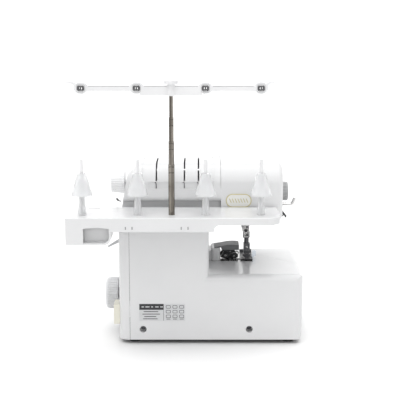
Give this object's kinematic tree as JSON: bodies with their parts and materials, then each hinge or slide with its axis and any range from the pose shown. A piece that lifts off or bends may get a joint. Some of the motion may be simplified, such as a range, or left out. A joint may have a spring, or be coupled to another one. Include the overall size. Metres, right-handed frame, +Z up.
{
  "type": "serger overlock machine",
  "caption": "White home overlock machine with free-end bed, column, slotted arm, knife and looper area, handwheel, spool tray and telescopic thread stand.",
  "frame": {"origin": "on the floor under the middle of the machine's overall box", "axes": "+Z up, -Y towards the user's sewing side, +Y towards the spool stand, +X towards the handwheel"},
  "size_m": [0.3696, 0.263, 0.4185],
  "materials": {
    "white_gloss": "glossy white moulded ABS with a fine moulded texture",
    "steel": "ground steel",
    "black_steel": "black painted pressed steel",
    "rubber": "matt black rubber",
    "cast_aluminium": "as-cast aluminium",
    "brass": "sintered bronze",
    "dark_grey_plastic": "dark grey moulded plastic",
    "light_grey_plastic": "pale grey moulded plastic",
    "dark_steel": "dark oiled steel",
    "clear_blue": "thin clear plastic with a cool tint",
    "grey_plastic": "grey moulded plastic with ribs",
    "white_satin": "satin white moulded plastic",
    "ivory_plastic": "ivory moulded plastic",
    "clear_white": "translucent milky plastic",
    "pole_steel": "brushed nickel-plated tube"
  },
  "bodies": {
    "housing": {"rear_cover": "white_gloss", "belt_cover": "white_gloss", "front_cover": "white_gloss", "cover_hinge_rod": "steel", "head_cover": "white_gloss", "top_cover": "white_gloss", "arm_front_cover": "white_gloss", "base_pan": "black_steel", "rubber_feet": "rubber", "frame": "cast_aluminium", "bushings": "brass", "drive_belts": "rubber", "motor_body": "steel", "motor_bracket": "black_steel", "presser_spring": "steel", "thread_cutter": "black_steel", "needle_plate": "steel", "lower_knife": "dark_steel", "knife_hood": "dark_grey_plastic", "tension_axle": "steel", "power_inlet": "ivory_plastic", "spool_tray": "white_gloss", "spool_pins": "white_satin", "pole_tube_1": "pole_steel", "cover_screws": "dark_steel"},
    "looper_cover": {"looper_cover": "white_gloss"},
    "cloth_plate": {"cloth_plate": "white_gloss"},
    "main_shaft": {"main_shaft": "steel", "shaft_pulleys": "dark_grey_plastic", "handwheel": "light_grey_plastic"},
    "motor_rotor": {"motor_rotor": "dark_steel"},
    "arm_shaft": {"arm_shaft": "steel"},
    "needle_bar": {"needle_bar": "steel", "needle_clamp": "dark_steel", "needles": "steel"},
    "presser_bar": {"presser_bar": "dark_steel", "presser_foot": "dark_steel", "needle_guard": "clear_blue"},
    "presser_lifter": {"presser_lifter": "steel"},
    "pressure_dial": {"pressure_dial": "grey_plastic"},
    "feed_dogs": {"feed_dogs": "dark_steel"},
    "upper_knife": {"upper_knife": "dark_steel"},
    "lower_looper": {"lower_looper": "steel"},
    "upper_looper": {"upper_looper": "steel"},
    "tension_dial_1": {"tension_dial_1": "light_grey_plastic"},
    "tension_dial_2": {"tension_dial_2": "light_grey_plastic"},
    "tension_dial_3": {"tension_dial_3": "light_grey_plastic"},
    "tension_dial_4": {"tension_dial_4": "light_grey_plastic"},
    "stitch_selector": {"stitch_selector": "white_satin"},
    "threading_lever": {"threading_lever": "light_grey_plastic"},
    "power_switch": {"power_switch": "white_satin"},
    "cone_holder_1": {"cone_holder_1": "clear_white"},
    "cone_holder_2": {"cone_holder_2": "clear_white"},
    "cone_holder_3": {"cone_holder_3": "clear_white"},
    "cone_holder_4": {"cone_holder_4": "clear_white"},
    "pole_tube_2": {"pole_tube_2": "pole_steel"},
    "pole_tube_3": {"pole_tube_3": "pole_steel"},
    "pole_tube_4": {"pole_tube_4": "pole_steel"},
    "guide_bar": {"guide_bar": "white_satin", "guide_clips": "white_satin"}
  },
  "joints": [
    {"name": "looper_cover_hinge", "type": "hinge", "parent": "housing", "child": "looper_cover", "pos_m": [0, -0.1196, 0.0146], "axis": [1, 0, 0], "range_deg": [0, 85]},
    {"name": "cloth_plate_slide", "type": "slide", "parent": "housing", "child": "cloth_plate", "axis": [-1, 0, 0], "range_m": [0, 0.06]},
    {"name": "handwheel_turn", "type": "hinge", "parent": "housing", "child": "main_shaft", "pos_m": [0.1, -0.012, 0.061], "axis": [1, 0, 0], "continuous": true},
    {"name": "motor_turn", "type": "hinge", "parent": "housing", "child": "motor_rotor", "pos_m": [0.05, 0.024, 0.142], "axis": [1, 0, 0], "continuous": true},
    {"name": "arm_shaft_turn", "type": "hinge", "parent": "housing", "child": "arm_shaft", "pos_m": [0.05, -0.03, 0.212], "axis": [1, 0, 0], "continuous": true},
    {"name": "needle_bar_slide", "type": "slide", "parent": "housing", "child": "needle_bar", "axis": [0, 0, 1], "range_m": [-0.028, 0]},
    {"name": "upper_knife_slide", "type": "slide", "parent": "housing", "child": "upper_knife", "axis": [0, 0, 1], "range_m": [-0.006, 0]},
    {"name": "feed_dog_drop", "type": "slide", "parent": "housing", "child": "feed_dogs", "axis": [0, 0, 1], "range_m": [-0.0015, 0]},
    {"name": "upper_looper_swing", "type": "hinge", "parent": "housing", "child": "upper_looper", "pos_m": [-0.052, -0.07, 0.044], "axis": [0, 1, 0], "range_deg": [-12, 0]},
    {"name": "lower_looper_swing", "type": "hinge", "parent": "housing", "child": "lower_looper", "pos_m": [-0.126, -0.07, 0.052], "axis": [0, 1, 0], "range_deg": [0, 12]},
    {"name": "presser_lifter_turn", "type": "hinge", "parent": "housing", "child": "presser_lifter", "pos_m": [-0.13, -0.02, 0.209], "axis": [-1, 0, 0], "range_deg": [0, 70]},
    {"name": "presser_bar_slide", "type": "slide", "parent": "housing", "child": "presser_bar", "axis": [0, 0, 1], "range_m": [0, 0.007], "deforming": ["presser_spring"]},
    {"name": "pressure_dial_turn", "type": "hinge", "parent": "housing", "child": "pressure_dial", "pos_m": [-0.155, -0.04, 0.227], "axis": [1, 0, 0], "range_deg": [-150, 150]},
    {"name": "tension_dial_1_turn", "type": "hinge", "parent": "housing", "child": "tension_dial_1", "pos_m": [-0.01455, -0.088, 0.236], "axis": [1, 0, 0], "range_deg": [-160, 160]},
    {"name": "tension_dial_2_turn", "type": "hinge", "parent": "housing", "child": "tension_dial_2", "pos_m": [0.00755, -0.088, 0.236], "axis": [1, 0, 0], "range_deg": [-160, 160]},
    {"name": "tension_dial_3_turn", "type": "hinge", "parent": "housing", "child": "tension_dial_3", "pos_m": [0.02965, -0.088, 0.236], "axis": [1, 0, 0], "range_deg": [-160, 160]},
    {"name": "tension_dial_4_turn", "type": "hinge", "parent": "housing", "child": "tension_dial_4", "pos_m": [0.05175, -0.088, 0.236], "axis": [1, 0, 0], "range_deg": [-160, 160]},
    {"name": "stitch_selector_turn", "type": "hinge", "parent": "housing", "child": "stitch_selector", "pos_m": [0.115, -0.056, 0.24], "axis": [1, 0, 0], "range_deg": [-135, 135]},
    {"name": "threading_lever_swing", "type": "hinge", "parent": "housing", "child": "threading_lever", "pos_m": [0.101, 0.031, 0.161], "axis": [0, 1, 0], "range_deg": [-12, 12]},
    {"name": "power_switch_rock", "type": "hinge", "parent": "housing", "child": "power_switch", "pos_m": [0.1135, 0.045, 0.053], "axis": [0, -1, 0], "range_deg": [0, 10]},
    {"name": "pole_tube_2_slide", "type": "slide", "parent": "housing", "child": "pole_tube_2", "axis": [0, 0, 1], "range_m": [-0.03, 0]},
    {"name": "pole_tube_3_slide", "type": "slide", "parent": "pole_tube_2", "child": "pole_tube_3", "axis": [0, 0, 1], "range_m": [-0.03, 0]},
    {"name": "pole_tube_4_slide", "type": "slide", "parent": "pole_tube_3", "child": "pole_tube_4", "axis": [0, 0, 1], "range_m": [-0.03, 0]},
    {"name": "guide_bar_swivel", "type": "hinge", "parent": "pole_tube_4", "child": "guide_bar", "pos_m": [0.026, 0.104, 0.405], "axis": [0, 0, 1], "range_deg": [-90, 90]},
    {"name": "cone_holder_1_lift", "type": "slide", "parent": "housing", "child": "cone_holder_1", "axis": [0, 0, 1], "range_m": [0, 0.085]},
    {"name": "cone_holder_2_lift", "type": "slide", "parent": "housing", "child": "cone_holder_2", "axis": [0, 0, 1], "range_m": [0, 0.085]},
    {"name": "cone_holder_3_lift", "type": "slide", "parent": "housing", "child": "cone_holder_3", "axis": [0, 0, 1], "range_m": [0, 0.085]},
    {"name": "cone_holder_4_lift", "type": "slide", "parent": "housing", "child": "cone_holder_4", "axis": [0, 0, 1], "range_m": [0, 0.085]}
  ],
  "couplings": [
    {"joint": "motor_turn", "follows": "handwheel_turn", "ratio": 3},
    {"joint": "arm_shaft_turn", "follows": "handwheel_turn", "ratio": 1},
    {"joint": "upper_knife_slide", "follows": "needle_bar_slide", "ratio": 0.2142},
    {"joint": "feed_dog_drop", "follows": "needle_bar_slide", "ratio": 0.0535},
    {"joint": "upper_looper_swing", "follows": "needle_bar_slide", "rad_per_m": 7.47},
    {"joint": "lower_looper_swing", "follows": "needle_bar_slide", "rad_per_m": -7.47},
    {"joint": "presser_lifter_turn", "follows": "presser_bar_slide", "rad_per_m": 174.4}
  ]
}
